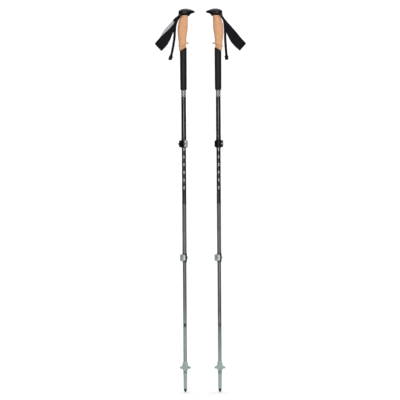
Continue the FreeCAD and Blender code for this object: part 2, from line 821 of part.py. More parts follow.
def build_pole(side, pole):
    """Every piece of one pole, placed by the pole's own frame."""
    prefix = side + "_"
    strap = pole * strap_frame()
    grip_head(prefix + "grip_head", pole)
    head_pin = pole * move(SIZES["head_pin_x"], 0, SIZES["head_pin_height"]) * spun("x", -90)
    cross_pin(prefix + "head_pin", "head_pin_r", "head_pin_half", head_pin)
    cork_grip(prefix + "cork_grip", pole)
    foam_sleeve(prefix + "foam_sleeve", pole)
    cross_pin(prefix + "strap_pin", "strap_pin_r", "strap_pin_half", pole * strap_pin_place())
    strap_wedge(prefix + "strap_wedge", pole)
    strap_loop(prefix + "strap_loop", strap)
    strap_lining(prefix + "strap_lining", strap)
    strap_tail(prefix + "strap_tail", side, pole)
    tube(prefix + "upper_tube", "upper_tube", pole, True)
    clamp(side, "upper", "upper_tube_r", "middle_tube_r", pole)
    tube(prefix + "middle_tube", "middle_tube", pole, True)
    tube_plug(prefix + "middle_plug", "middle_tube", "upper_tube", pole)
    clamp(side, "lower", "middle_tube_r", "lower_tube_r", pole)
    tube(prefix + "lower_tube", "lower_tube", pole, False)
    tube_plug(prefix + "lower_plug", "lower_tube", "middle_tube", pole)
    ferrule(prefix + "ferrule", pole)
    basket(prefix + "basket", pole)
    hard_tip(prefix + "tip", pole)


def strap_frame():
    """The strap's frame: its origin on the pin, its length hanging down and back."""
    return move(SIZES["strap_pin_x"], 0, SIZES["strap_pin_height"]) * spun("y", SIZES["strap_turn"])


def check_all():
    """Stop if any feature failed or any sub-part isn't one valid solid."""
    failed = [thing.Label for thing in doc.Objects if {"Invalid", "Error"} & set(thing.State)]
    bad = [part.Label for part in subparts
           if part.Shape.isNull() or not part.Shape.isValid() or len(part.Shape.Solids) != 1]
    if failed or bad:
        raise RuntimeError("failed features %s, bad sub-parts %s" % (failed, bad))


def write_parts():
    os.makedirs(PARTS_FOLDER, exist_ok=True)
    for part in subparts:
        part.Shape.exportStep(os.path.join(PARTS_FOLDER, part.Label + ".step"))
        print("%-34s %9.1f mm3" % (part.Label, part.Shape.Volume))


build_pole("left", move(-SIZES["pole_spacing"] / 2))
build_pole("right", move(SIZES["pole_spacing"] / 2) * spun("z", 180))
doc.recompute()
check_all()
write_parts()
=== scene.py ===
import math

import bmesh
import bpy
from mathutils import Matrix, Vector


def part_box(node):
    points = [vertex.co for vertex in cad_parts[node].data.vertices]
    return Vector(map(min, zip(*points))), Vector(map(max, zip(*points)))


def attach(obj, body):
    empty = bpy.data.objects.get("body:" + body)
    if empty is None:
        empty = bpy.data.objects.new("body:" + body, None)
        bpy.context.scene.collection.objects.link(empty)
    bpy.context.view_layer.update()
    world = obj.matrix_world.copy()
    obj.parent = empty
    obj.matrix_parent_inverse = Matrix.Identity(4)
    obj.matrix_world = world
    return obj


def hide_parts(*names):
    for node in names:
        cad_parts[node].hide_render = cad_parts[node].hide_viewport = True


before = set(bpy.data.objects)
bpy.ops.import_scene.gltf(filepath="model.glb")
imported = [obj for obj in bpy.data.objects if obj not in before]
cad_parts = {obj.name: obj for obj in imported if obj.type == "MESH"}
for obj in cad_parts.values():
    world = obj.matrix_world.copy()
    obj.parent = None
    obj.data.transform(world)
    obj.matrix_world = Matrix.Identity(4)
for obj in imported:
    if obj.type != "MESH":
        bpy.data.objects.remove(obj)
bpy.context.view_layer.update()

# A pair of trekking poles. Everything is in metres. Each pole has its own frame: origin on the
# ground below its axis, +X towards the beak of its grip, +Z up. MM turns millimetres into metres.

MM = 0.001
SIDES = {"left": 1, "right": -1}


def middle(node):
    low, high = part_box(node)
    return (low + high) / 2


class Pole:
    """One pole's frame. Turned tells which way its beak points: 1 is +X, -1 is -X."""

    def __init__(self, side):
        self.side = side
        self.turned = SIDES[side]
        self.x = middle(side + "_lower_tube").x

    def at(self, x, y, z):
        return Vector((self.x + self.turned * x, self.turned * y, z))

    def node(self, name):
        return self.side + "_" + name


# ---------------------------------------------------------------------------------------------
# Camera, stage and lights
# ---------------------------------------------------------------------------------------------

CAMERA_FAR = 6.0
VIEW_WIDE = 1306 * MM
VIEW_CENTRE = Vector((-5.0 * MM, 0, 627.0 * MM))
CAMERA_ROLL = math.radians(-0.36)
SENSOR = 36


def make_camera():
    camera = bpy.data.objects.new("camera", bpy.data.cameras.new("camera"))
    bpy.context.collection.objects.link(camera)
    camera.data.sensor_width = SENSOR
    camera.data.lens = SENSOR * CAMERA_FAR / VIEW_WIDE
    camera.data.clip_end = 100
    camera.location = VIEW_CENTRE + Vector((0, -CAMERA_FAR, 0))
    look = Matrix.Rotation(math.pi / 2, 4, "X") @ Matrix.Rotation(CAMERA_ROLL, 4, "Z")
    camera.rotation_euler = look.to_euler()
    bpy.context.scene.camera = camera


FLOOR_FRONT, FLOOR_BACK, FLOOR_HALF = -9.0, 3.2, 10.0
WALL_TOP, WALL_BEND, BEND_STEPS = 9.0, 1.2, 12


def make_stage():
    """A white floor that sweeps up behind the poles. It is clear when seen from its back."""
    bend_from = FLOOR_BACK - WALL_BEND
    outline = [(FLOOR_FRONT, 0), (bend_from, 0)]
    for step in range(1, BEND_STEPS + 1):
        angle = math.pi / 2 * step / BEND_STEPS
        rise = WALL_BEND - WALL_BEND * math.cos(angle)
        outline.append((bend_from + WALL_BEND * math.sin(angle), rise))
    outline.append((FLOOR_BACK, WALL_TOP))
    points = [(x, y, z) for y, z in outline for x in (-FLOOR_HALF, FLOOR_HALF)]
    faces = [(2 * i, 2 * i + 1, 2 * i + 3, 2 * i + 2) for i in range(len(outline) - 1)]
    mesh = bpy.data.meshes.new("floor")
    mesh.from_pydata(points, [], faces)
    mesh.polygons.foreach_set("use_smooth", [True] * len(faces))
    floor = bpy.data.objects.new("floor", mesh)
    bpy.context.collection.objects.link(floor)
    paint = Paint("floor", (0.93, 0.93, 0.93), 0.9)
    seen_from_back = paint.nodes.new("ShaderNodeNewGeometry").outputs["Backfacing"]
    paint.set(paint.shader, "Alpha", paint.sum("SUBTRACT", 1.0, seen_from_back))
    floor.data.materials.append(paint.material)
    floor.visible_glossy = False


WORLD_LIGHT = 0.06
# Each light's place, target, width and height in metres, its watts, and whether gloss shows it.
LIGHTS = {
    "key": ((0, -6.8, 1.0), (0, 0, 0.7), 0.5, 3.2, 240, True),
    "fill": ((1.9, -2.8, 1.2), (0, 0, 0.6), 0.5, 2.6, 22, False),
    "top": ((0, 0, 4.6), (0, 0, 0), 2.6, 2.6, 122, True),
    "backdrop": ((0, 1.1, 4.4), (0, 3.2, 0.4), 6.0, 0.8, 92, True),
}


def make_lights():
    world = bpy.data.worlds.new("studio")
    world.use_nodes = True
    sky = world.node_tree.nodes["Background"]
    sky.inputs["Color"].default_value = (1, 1, 1, 1)
    sky.inputs["Strength"].default_value = WORLD_LIGHT
    bpy.context.scene.world = world
    for name, (place, target, wide, tall, watts, in_gloss) in LIGHTS.items():
        data = bpy.data.lights.new(name, "AREA")
        data.shape = "RECTANGLE"
        data.size = wide
        data.size_y = tall
        data.energy = watts
        light = bpy.data.objects.new(name, data)
        bpy.context.collection.objects.link(light)
        light.location = place
        aim = Vector(target) - Vector(place)
        light.rotation_euler = aim.to_track_quat("-Z", "Y").to_euler()
        light.visible_glossy = in_gloss


# ---------------------------------------------------------------------------------------------
# Materials
# ---------------------------------------------------------------------------------------------


def shade(*levels):
    """A colour from levels of 0 to 255 as seen, in the shader's linear numbers."""
    def linear(level):
        value = level / 255
        return value / 12.92 if value <= 0.04045 else ((value + 0.055) / 1.055) ** 2.4
    levels = levels * 3 if len(levels) == 1 else levels
    return tuple(linear(level) for level in levels) + (1.0,)


class Paint:
    """A procedural material and the small sums that its nodes make."""

    def __init__(self, name, colour, roughness, **values):
        material = bpy.data.materials.new(name)
        material.use_nodes = True
        self.material = material
        self.nodes = material.node_tree.nodes
        self.links = material.node_tree.links
        self.shader = self.nodes["Principled BSDF"]
        self.set(self.shader, "Base Color", tuple(colour[:3]) + (1.0,))
        self.set(self.shader, "Roughness", roughness)
        for socket, value in values.items():
            self.set(self.shader, socket.replace("_", " "), value)

    def set(self, node, socket, value):
        """Give a socket a number, or join it to another node's output."""
        where = node.inputs[socket]
        if isinstance(value, bpy.types.NodeSocket):
            self.links.new(value, where)
        else:
            where.default_value = value

    def place(self):
        """The point on the object, in metres, at rest."""
        return self.nodes.new("ShaderNodeTexCoord").outputs["Object"]

    def along(self, name):
        """A sewn piece's own coordinates: x across, y along, in metres."""
        node = self.nodes.new("ShaderNodeUVMap")
        node.uv_map = name
        return node.outputs["UV"]

    def split(self, vector):
        node = self.nodes.new("ShaderNodeSeparateXYZ")
        self.set(node, 0, vector)
        return node.outputs[0], node.outputs[1], node.outputs[2]

    def join(self, x, y, z):
        node = self.nodes.new("ShaderNodeCombineXYZ")
        for socket, value in enumerate((x, y, z)):
            self.set(node, socket, value)
        return node.outputs[0]

    def sum(self, operation, *values, clamp=False):
        node = self.nodes.new("ShaderNodeMath")
        node.operation = operation
        node.use_clamp = clamp
        for socket, value in enumerate(values):
            self.set(node, socket, value)
        return node.outputs[0]

    def mix(self, amount, first, second):
        node = self.nodes.new("ShaderNodeMix")
        node.data_type = "RGBA"
        self.set(node, 0, amount)
        self.set(node, 6, first)
        self.set(node, 7, second)
        return node.outputs[2]

    def ramp(self, value, low, high, start=0.0, end=1.0):
        """A value moved from low..high to start..end, held at both ends."""
        node = self.nodes.new("ShaderNodeMapRange")
        for socket, number in zip((0, 1, 2, 3, 4), (value, low, high, start, end)):
            self.set(node, socket, number)
        return node.outputs[0]

    def noise(self, vector, scale, detail=4.0, rough=0.55):
        node = self.nodes.new("ShaderNodeTexNoise")
        self.set(node, "Vector", vector)
        self.set(node, "Scale", scale)
        self.set(node, "Detail", detail)
        self.set(node, "Roughness", rough)
        return node.outputs[0]

    def cells(self, vector, scale, output="Distance"):
        node = self.nodes.new("ShaderNodeTexVoronoi")
        self.set(node, "Vector", vector)
        self.set(node, "Scale", scale)
        return node.outputs[output]

    def stretched(self, vector, x, y, z):
        node = self.nodes.new("ShaderNodeVectorMath")
        node.operation = "MULTIPLY"
        self.set(node, 0, vector)
        node.inputs[1].default_value = (x, y, z)
        return node.outputs[0]

    def bump(self, height, deep, strength=1.0):
        """Relief: height is 0 to 1, deep is its depth in metres."""
        node = self.nodes.new("ShaderNodeBump")
        self.set(node, "Height", height)
        self.set(node, "Distance", deep)
        self.set(node, "Strength", strength)
        self.set(self.shader, "Normal", node.outputs[0])

    def colour(self, value):
        self.set(self.shader, "Base Color", value)

    def rough(self, value):
        self.set(self.shader, "Roughness", value)


CORK_GRAINS = 420


def cork_paint():
    """Agglomerated cork: pale granules of many tints, dark pores, a darker spur tip, and painted
    shade in the crease under the pinky rest and at its rear.
    """
    paint = Paint("cork", shade(214, 160, 116), 0.75)
    place = paint.place()
    bent = paint.noise(place, 90, 3)
    grain, _, _ = paint.split(paint.cells(place, CORK_GRAINS, "Color"))
    base = paint.mix(grain, shade(234, 180, 136), shade(212, 158, 116))
    patch = paint.ramp(paint.noise(place, 26, 3), 0.42, 0.62)
    base = paint.mix(paint.sum("MULTIPLY", patch, 0.55), base, shade(230, 168, 131))
    pores = paint.ramp(paint.noise(place, 520, 2, 0.7), 0.64, 0.70)
    base = paint.mix(paint.sum("MULTIPLY", pores, 0.75), base, shade(132, 84, 52))
    streaks = paint.noise(paint.stretched(place, 300, 300, 120), 1.0, 2, 0.6)
    streaks = paint.ramp(streaks, 0.66, 0.74)
    base = paint.mix(paint.sum("MULTIPLY", streaks, 0.5), base, shade(150, 100, 64))
    # The first number of the "weave" map says how dark to paint: painted shade in the crease
    # under the pinky rest and at the rear bump, and a darker spur tip.
    worn, _, _ = paint.split(paint.along("weave"))
    paint.colour(paint.mix(worn, base, shade(66, 48, 38)))
    paint.rough(paint.ramp(bent, 0.3, 0.7, 0.62, 0.85))
    edge = paint.ramp(paint.cells(place, CORK_GRAINS), 0.0, 0.6)
    relief = paint.sum("SUBTRACT", paint.sum("MULTIPLY", edge, 0.5),
                       paint.sum("MULTIPLY", pores, 0.9))
    paint.bump(relief, 0.0004, 0.8)
    return paint.material


def foam_paint():
    """Closed-cell foam: black, matt, with fine open cells at its skin."""
    paint = Paint("foam", shade(20, 19, 20), 0.6, Specular_IOR_Level=0.5)
    place = paint.place()
    cell = paint.cells(place, 1500)
    wide = paint.noise(place, 60, 3)
    paint.colour(paint.mix(paint.ramp(wide, 0.3, 0.7), shade(14, 13, 14), shade(24, 23, 24)))
    paint.rough(paint.ramp(wide, 0.3, 0.7, 0.52, 0.66))
    paint.bump(paint.sum("ADD", cell, paint.sum("MULTIPLY", wide, 0.5)), 0.00025, 0.7)
    return paint.material


def head_paint():
    """Moulded rubber with a fine leather-like grain and a rubbed crown."""
    paint = Paint("head_rubber", shade(12, 10, 11), 0.34, Specular_IOR_Level=0.22)
    place = paint.place()
    worn = paint.noise(place, 45, 4)
    paint.colour(paint.mix(paint.ramp(worn, 0.35, 0.7), shade(8, 7, 8), shade(22, 19, 20)))
    paint.rough(paint.ramp(worn, 0.3, 0.7, 0.26, 0.42))
    paint.bump(paint.cells(place, 1100), 0.0002, 0.6)
    return paint.material


def web_paint(name, dark, light, twill):
    """Woven webbing: ribs along the strap crossed by picks, in the piece's own coordinates."""
    paint = Paint(name, dark, 0.85, Specular_IOR_Level=0.2)
    across, along, _ = paint.split(paint.along("weave"))
    rib = paint.sum("SINE", paint.sum("MULTIPLY", across, 2 * math.pi / twill))
    slant = paint.sum("ADD", paint.sum("MULTIPLY", along, 2 * math.pi / twill * 0.7),
                      paint.sum("MULTIPLY", paint.sum("SIGN", rib), 1.57))
    pick = paint.sum("SINE", slant)
    weave = paint.ramp(paint.sum("ADD", paint.sum("MULTIPLY", rib, 0.5), pick), -1.5, 1.5)
    fuzz = paint.noise(paint.place(), 900, 3)
    tone = paint.sum("ADD", paint.sum("MULTIPLY", weave, 0.6), paint.sum("MULTIPLY", fuzz, 0.4))
    paint.colour(paint.mix(tone, dark, light))
    paint.rough(paint.ramp(fuzz, 0.3, 0.7, 0.72, 0.95))
    paint.bump(weave, 0.00025, 0.9)
    return paint.material


def thread_paint():
    paint = Paint("thread", shade(30, 30, 34), 0.6, Specular_IOR_Level=0.3)
    twist = paint.noise(paint.stretched(paint.place(), 1, 1, 3), 1800, 2)
    paint.colour(paint.mix(twist, shade(20, 20, 24), shade(44, 44, 50)))
    paint.bump(twist, 0.0001)
    return paint.material


def moulded(name, colour, worn_colour, roughness):
    """Moulded plastic: a fine spark-eroded texture and paler scuffs. Returns its colour too."""
    paint = Paint(name, colour, roughness, Specular_IOR_Level=0.25)
    place = paint.place()
    scuff = paint.ramp(paint.noise(place, 140, 5, 0.7), 0.55, 0.75)
    tone = paint.mix(paint.sum("MULTIPLY", scuff, 0.5), colour, worn_colour)
    paint.rough(paint.ramp(scuff, 0, 1, roughness, roughness + 0.15))
    paint.bump(paint.noise(place, 2600, 2), 0.00008, 0.6)
    return paint, tone


def plastic_paint(name, colour, worn_colour, roughness):
    paint, tone = moulded(name, colour, worn_colour, roughness)
    paint.colour(tone)
    return paint.material


# Heights of the painted shade under the basket, in metres.
SHADED_BAND = (58 * MM, 71 * MM)


def ferrule_paint(colour, worn_colour):
    """Sage plastic, with painted shade in a band under the basket, where its thread ends."""
    paint, tone = moulded("ferrule_nylon", colour, worn_colour, 0.48)
    _, _, height = paint.split(paint.place())
    low, high = SHADED_BAND
    rise = paint.ramp(height, low, high - 4 * MM)
    fall = paint.ramp(height, high, high + 2 * MM, 1.0, 0.0)
    # Painted shade: the sage is darkened in this band under the basket.
    band = paint.sum("MULTIPLY", paint.sum("MULTIPLY", rise, fall), 0.7)
    paint.colour(paint.mix(band, tone, shade(82, 104, 94)))
    return paint.material


def metal_paint(name, colour, roughness, stretch, metallic=1.0):
    """Satin metal, brushed along one direction, with small scratches."""
    paint = Paint(name, colour, roughness, Metallic=metallic)
    place = paint.place()
    brushed = paint.noise(paint.stretched(place, *stretch), 1.0, 3)
    blotch = paint.noise(place, 160, 3)
    dull = tuple(level * 0.8 for level in colour[:3]) + (1,)
    paint.colour(paint.mix(paint.ramp(blotch, 0.35, 0.7), colour, dull))
    paint.rough(paint.ramp(brushed, 0.25, 0.75, roughness - 0.07, roughness + 0.12))
    paint.bump(brushed, 0.00004, 0.5)
    return paint.material


WEAVE_PITCH, WEAVE_TURNS = 3.2 * MM, 14.0
LATTICE_BAND = (964.5 * MM, 985 * MM)
LATTICE_PITCH = 9.8 * MM
LATTICE_TURNS = 3.0
LATTICE_CROSSING = {"left": 978.7 * MM, "right": 983.6 * MM}
MARK_PITCH = 25 * MM
MARK_COUNT = 6
MARK_TOP = 792.4 * MM
MARK_HALF = (1.9 * MM, 2.3 * MM)
MARK_ANGLE = (0.24, 0.28)
CHECK_BAND = (526 * MM, 614 * MM)
CHECK_PITCH, CHECK_TURNS = 8.6 * MM, 7.0
GREY_BAND = (450 * MM, 526 * MM)
RIB_PITCH, RIB_TURNS = 6.54 * MM, 22.0
SAGE_HEIGHT = {"left": 250, "right": 190}
DIAMOND_DROP = 97 * MM
DIAMOND_HALF = (7.4 * MM, 8.2 * MM)


class TubePaint(Paint):
    """Carbon tube: a clear-coated weave under printed bands, given by height and angle."""

    def __init__(self, pole, name, colour, shine):
        super().__init__(pole.node(name), colour, 0.18, Specular_IOR_Level=shine)
        self.x, self.y, self.z = self.split(self.place())
        self.x = self.sum("SUBTRACT", self.x, pole.x)
        self.angle = self.sum("ARCTAN2", self.x, self.sum("MULTIPLY", self.y, -1.0))
        turns = self.sum("MULTIPLY", self.angle, WEAVE_TURNS)
        rise = self.sum("MULTIPLY", self.z, 2 * math.pi / WEAVE_PITCH)
        self.weave = self.sum("MULTIPLY", self.sum("SINE", self.sum("ADD", turns, rise)),
                              self.sum("SINE", self.sum("SUBTRACT", turns, rise)))
        self.dirt = self.noise(self.place(), 70, 4)
        self.now = colour

    def between(self, value, low, high, soft=0.15 * MM):
        """1 inside low..high, 0 outside, with soft edges."""
        rise = self.ramp(value, low - soft, low + soft)
        fall = self.ramp(value, high - soft, high + soft, 1.0, 0.0)
        return self.sum("MULTIPLY", rise, fall)

    def print_over(self, where, colour):
        self.now = self.mix(where, self.now, colour)

    def finish(self):
        woven = self.ramp(self.weave, -1, 1, 0.0, 0.35)
        tone = self.mix(woven, self.now, (0.0, 0.0, 0.0, 1.0))
        self.colour(self.mix(self.ramp(self.dirt, 0.5, 0.8, 0.0, 0.02), tone, shade(150)))
        self.rough(self.ramp(self.dirt, 0.3, 0.7, 0.16, 0.24))
        self.bump(self.weave, 0.00001, 0.3)
        return self.material


def upper_tube_paint(pole):
    """Black, with a band of crossing lines below the foam."""
    paint = TubePaint(pole, "upper_tube", shade(13, 13, 14), 0.6)
    inside = paint.between(paint.z, *LATTICE_BAND)
    rise = paint.sum("SUBTRACT", paint.z, LATTICE_CROSSING[pole.side])
    steps = paint.sum("MULTIPLY", rise, math.pi / LATTICE_PITCH)
    turns = paint.sum("MULTIPLY", paint.angle, LATTICE_TURNS)
    first = paint.sum("ABSOLUTE", paint.sum("SINE", paint.sum("ADD", steps, turns)))
    second = paint.sum("ABSOLUTE", paint.sum("SINE", paint.sum("SUBTRACT", steps, turns)))
    line = paint.ramp(paint.sum("MINIMUM", first, second), 0.36, 0.46, 1.0, 0.0)
    paint.print_over(paint.sum("MULTIPLY", inside, line), shade(200))
    return paint.finish()


def middle_tube_paint(pole):
    """Length marks, a band of checks, and a pale band that is plain or dotted."""
    paint = TubePaint(pole, "middle_tube", shade(11, 11, 12), 0.36)
    low = MARK_TOP - (MARK_COUNT - 0.5) * MARK_PITCH
    scale = paint.between(paint.z, low, MARK_TOP + 0.5 * MARK_PITCH)
    phase = paint.sum("MULTIPLY", paint.sum("SUBTRACT", paint.z, MARK_TOP), 1 / MARK_PITCH)
    phase = paint.sum("ABSOLUTE", paint.sum("SUBTRACT", phase, paint.sum("ROUND", phase)))
    bar = paint.sum("ABSOLUTE", paint.sum("SUBTRACT", phase, 0.1))
    bar = paint.ramp(paint.sum("MULTIPLY", bar, MARK_PITCH), *MARK_HALF, 1.0, 0.0)
    face = paint.ramp(paint.sum("ABSOLUTE", paint.angle), *MARK_ANGLE, 1.0, 0.0)
    marks = paint.sum("MULTIPLY", paint.sum("MULTIPLY", bar, face), scale)
    paint.print_over(marks, shade(190))
    inside = paint.between(paint.z, *CHECK_BAND)
    rows = paint.sum("SINE", paint.sum("MULTIPLY", paint.z, 2 * math.pi / CHECK_PITCH))
    columns = paint.sum("SINE", paint.sum("MULTIPLY", paint.angle, CHECK_TURNS))
    check = paint.ramp(paint.sum("MULTIPLY", rows, columns), -0.02, 0.14)
    paint.print_over(paint.sum("MULTIPLY", inside, check), shade(128, 130, 129))
    grey = paint.between(paint.z, *GREY_BAND)
    if pole.side == "left":
        paint.print_over(grey, shade(98, 99, 98))
    else:
        ribs = paint.sum("SINE", paint.sum("MULTIPLY", paint.z, 2 * math.pi / RIB_PITCH))
        threads = paint.sum("SINE", paint.sum("MULTIPLY", paint.angle, RIB_TURNS))
        pattern = paint.sum("ADD", ribs, paint.sum("MULTIPLY", threads, 0.5))
        pattern = paint.ramp(pattern, -0.8, 0.8)
        paint.print_over(grey, paint.mix(pattern, shade(78, 79, 78), shade(116, 118, 116)))
    return paint.finish()


def lower_tube_paint(pole):
    """Grey, turning to sage green towards the basket, with one dark diamond."""
    paint = TubePaint(pole, "lower_tube", shade(82, 85, 83), 0.8)
    low = SAGE_HEIGHT[pole.side]
    sage = paint.ramp(paint.z, (low - 70) * MM, (low + 60) * MM, 1.0, 0.0)
    paint.print_over(sage, shade(144, 161, 153))
    mark = middle(pole.node("lower_tube")).z - DIAMOND_DROP
    tall = paint.sum("ABSOLUTE", paint.sum("SUBTRACT", paint.z, mark))
    wide = paint.sum("MULTIPLY", paint.sum("ABSOLUTE", paint.angle), 9 * MM)
    diamond = paint.ramp(paint.sum("ADD", tall, wide), *DIAMOND_HALF, 1.0, 0.0)
    paint.print_over(diamond, shade(40, 42, 41))
    return paint.finish()


def dress(node, material):
    """Give a CAD node a better material."""
    for place in bpy.data.objects[node].material_slots:
        place.material = material


def dress_poles(poles):
    black = plastic_paint("black_nylon", shade(5, 5, 6), shade(22), 0.42)
    lever = metal_paint("lever_alloy", shade(196, 204, 201), 0.46, (60, 60, 2400), 0.4)
    steel = metal_paint("steel", shade(150), 0.34, (1500, 1500, 300))
    pin_steel = metal_paint("pin_steel", shade(92), 0.55, (1500, 300, 1500))
    sage = plastic_paint("sage_nylon", shade(148, 167, 158), shade(178, 192, 185), 0.48)
    ferrule = ferrule_paint(shade(148, 167, 158), shade(178, 192, 185))
    tip = metal_paint("carbide", shade(34), 0.45, (900, 900, 500))
    for pole in poles:
        for which in ("upper", "lower"):
            dress(pole.node(which + "_clamp_collar"), black)
            dress(pole.node(which + "_clamp_lever"), lever)
            dress(pole.node(which + "_clamp_barrel"), steel)
            dress(pole.node(which + "_clamp_screw"), steel)
        for plug in ("middle_plug", "lower_plug", "strap_wedge"):
            dress(pole.node(plug), black)
        for pin in ("head_pin", "strap_pin"):
            dress(pole.node(pin), pin_steel)
        dress(pole.node("upper_tube"), upper_tube_paint(pole))
        dress(pole.node("middle_tube"), middle_tube_paint(pole))
        dress(pole.node("lower_tube"), lower_tube_paint(pole))
        dress(pole.node("ferrule"), ferrule)
        dress(pole.node("basket"), sage)
        dress(pole.node("tip"), tip)


# ---------------------------------------------------------------------------------------------
# Shapes
# ---------------------------------------------------------------------------------------------


def curve_through(table, value):
    """A smooth line through rows of (value, size, size, ...), read at a value."""
    rows = sorted(table)
    value = min(max(value, rows[0][0]), rows[-1][0])
    i = max(n for n in range(len(rows) - 1) if rows[n][0] <= value)
    before, start, end = rows[max(i - 1, 0)], rows[i], rows[i + 1]
    after = rows[min(i + 2, len(rows) - 1)]
    span = end[0] - start[0]
    t = (value - start[0]) / span
    found = []
    for a, b, c, d in zip(before[1:], start[1:], end[1:], after[1:]):
        leave = (c - a) / max(end[0] - before[0], 1e-9) * span
        arrive = (d - b) / max(after[0] - start[0], 1e-9) * span
        found.append((2 * t**3 - 3 * t**2 + 1) * b + (t**3 - 2 * t**2 + t) * leave
                     + (3 * t**2 - 2 * t**3) * c + (t**3 - t**2) * arrive)
    return found


def skin(name, rings, material, closed=False, ends=True, weave=None):
    """A closed surface over rings of points. Closed joins the last ring to the first."""
    count = len(rings[0])
    points = [point for ring in rings for point in ring]
    faces = []
    last = len(rings) if closed else len(rings) - 1
    for i in range(last):
        for j in range(count):
            here, there = i * count, (i + 1) % len(rings) * count
            faces.append((here + j, here + (j + 1) % count, there + (j + 1) % count, there + j))
    if ends and not closed:
        faces.append(tuple(range(count))[::-1])
        faces.append(tuple((len(rings) - 1) * count + j for j in range(count)))
    return add_piece(name, points, faces, material, weave)


def add_piece(name, points, faces, material, weave=None):
    """One smooth mesh in the scene. Weave gives each point its place on the cloth, or on the cork
    how dark it is painted: painted shade and a darker spur tip.
    """
    mesh = bpy.data.meshes.new(name)
    mesh.from_pydata(points, [], faces)
    mesh.polygons.foreach_set("use_smooth", [True] * len(faces))
    if weave:
        layer = mesh.uv_layers.new(name="weave")
        for loop in mesh.loops:
            layer.data[loop.index].uv = weave[loop.vertex_index]
    mesh.materials.append(material)
    work = bmesh.new()
    work.from_mesh(mesh)
    bmesh.ops.recalc_face_normals(work, faces=work.faces)
    work.to_mesh(mesh)
    work.free()
    thing = bpy.data.objects.new(name, mesh)
    bpy.context.collection.objects.link(thing)
    return thing


def around(count):
    return [2 * math.pi * i / count for i in range(count)]


def steps(count):
    return [i / (count - 1) for i in range(count)]


# Head: distance in front of the axis, underside, crown and half width, all in millimetres.
HEAD = [
    (-15.4, 1238.0, 1241.8, 3.0),
    (-14.6, 1233.0, 1244.4, 8.4),
    (-12.0, 1228.0, 1246.8, 11.2),
    (-5.0, 1227.2, 1250.2, 14.0),
    (2.0, 1227.2, 1252.0, 15.0),
    (9.0, 1227.2, 1252.4, 14.9),
    (15.5, 1227.0, 1251.8, 14.0),
    (20.0, 1228.6, 1250.8, 13.0),
    (25.0, 1234.4, 1249.0, 11.4),
    (31.0, 1237.0, 1246.9, 9.2),
    (36.0, 1238.0, 1244.7, 6.6),
    (38.3, 1239.4, 1243.1, 3.2),
]


HEAD_RINGS, HEAD_AROUND = 64, 48
# Cheek: its radius, and rows of distance off the centre plane and swell.
CHEEK_R = 4.4
CHEEK_AROUND = 32
CHEEK = ((8.3, 0.86), (8.9, 1.0), (11.2, 1.0), (12.0, 0.88), (12.2, 0.6))


def make_head(pole, material):
    """The beaked head, with a cheek on each side of the strap."""
    rings = []
    rear, beak = HEAD[0][0], HEAD[-1][0]
    for step in steps(HEAD_RINGS):
        ahead = rear + (beak - rear) * (0.5 - 0.5 * math.cos(math.pi * step))
        under, crown, half = curve_through(HEAD, ahead)
        centre, tall = (crown + under) / 2, (crown - under) / 2
        ring = []
        for angle in around(HEAD_AROUND):
            across, up = math.cos(angle), math.sin(angle)
            square = 0.86 if up < 0 else 1.0
            y = half * math.copysign(abs(across) ** square, across)
            z = centre + tall * math.copysign(abs(up) ** (0.7 if up < 0 else 1.0), up)
            ring.append(pole.at(ahead * MM, y * MM, z * MM))
        rings.append(ring)
    head = skin(pole.node("head_shell"), rings, material)
    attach(head, pole.node("upper"))
    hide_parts(pole.node("grip_head"))
    pin = middle(pole.node("strap_pin"))
    pin_back = abs(pin.x - pole.x) / MM
    for name, hand in (("near", -1), ("far", 1)):
        rings = []
        for y, swell in CHEEK:
            ring = []
            for angle in around(CHEEK_AROUND):
                x = math.cos(angle) * CHEEK_R * swell
                z = math.sin(angle) * CHEEK_R * swell
                if z > 0:
                    x, z = x * 1.05 + 2.0 * (z / CHEEK_R), z * 2.1
                ring.append(pole.at((x - pin_back) * MM, hand * y * MM, pin.z + z * MM))
            rings.append(ring)
        cheek = skin(pole.node("cheek_" + name), rings, material)
        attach(cheek, pole.node("upper"))


# Cork: height, rear and front edge, half width, in millimetres.
CORK = [
    (1110, -13.4, 8.1, 9.9),
    (1126, -14.1, 8.9, 10.4),
    (1137, -14.7, 9.7, 11.2),
    (1147, -15.5, 10.2, 12.0),
    (1158, -16.8, 10.9, 12.9),
    (1170, -18.2, 12.4, 14.0),
    (1181, -18.6, 14.3, 15.0),
    (1193, -17.8, 15.6, 15.3),
    (1205, -15.9, 15.5, 14.8),
    (1216, -12.9, 15.4, 13.8),
    (1224, -9.4, 16.2, 12.9),
    (1229.3, -7.4, 17.6, 12.6),
]
SEAM_HEIGHT = 1119.3
SEAM_SLOPE = math.tan(math.radians(30))
SEAM_REACH = 10.5
CORK_BORE = 8.0
CORK_RINGS, CORK_AROUND = 170, 96
REST_HEIGHT = 1135.0
REST_SLOPE = math.tan(math.radians(22))


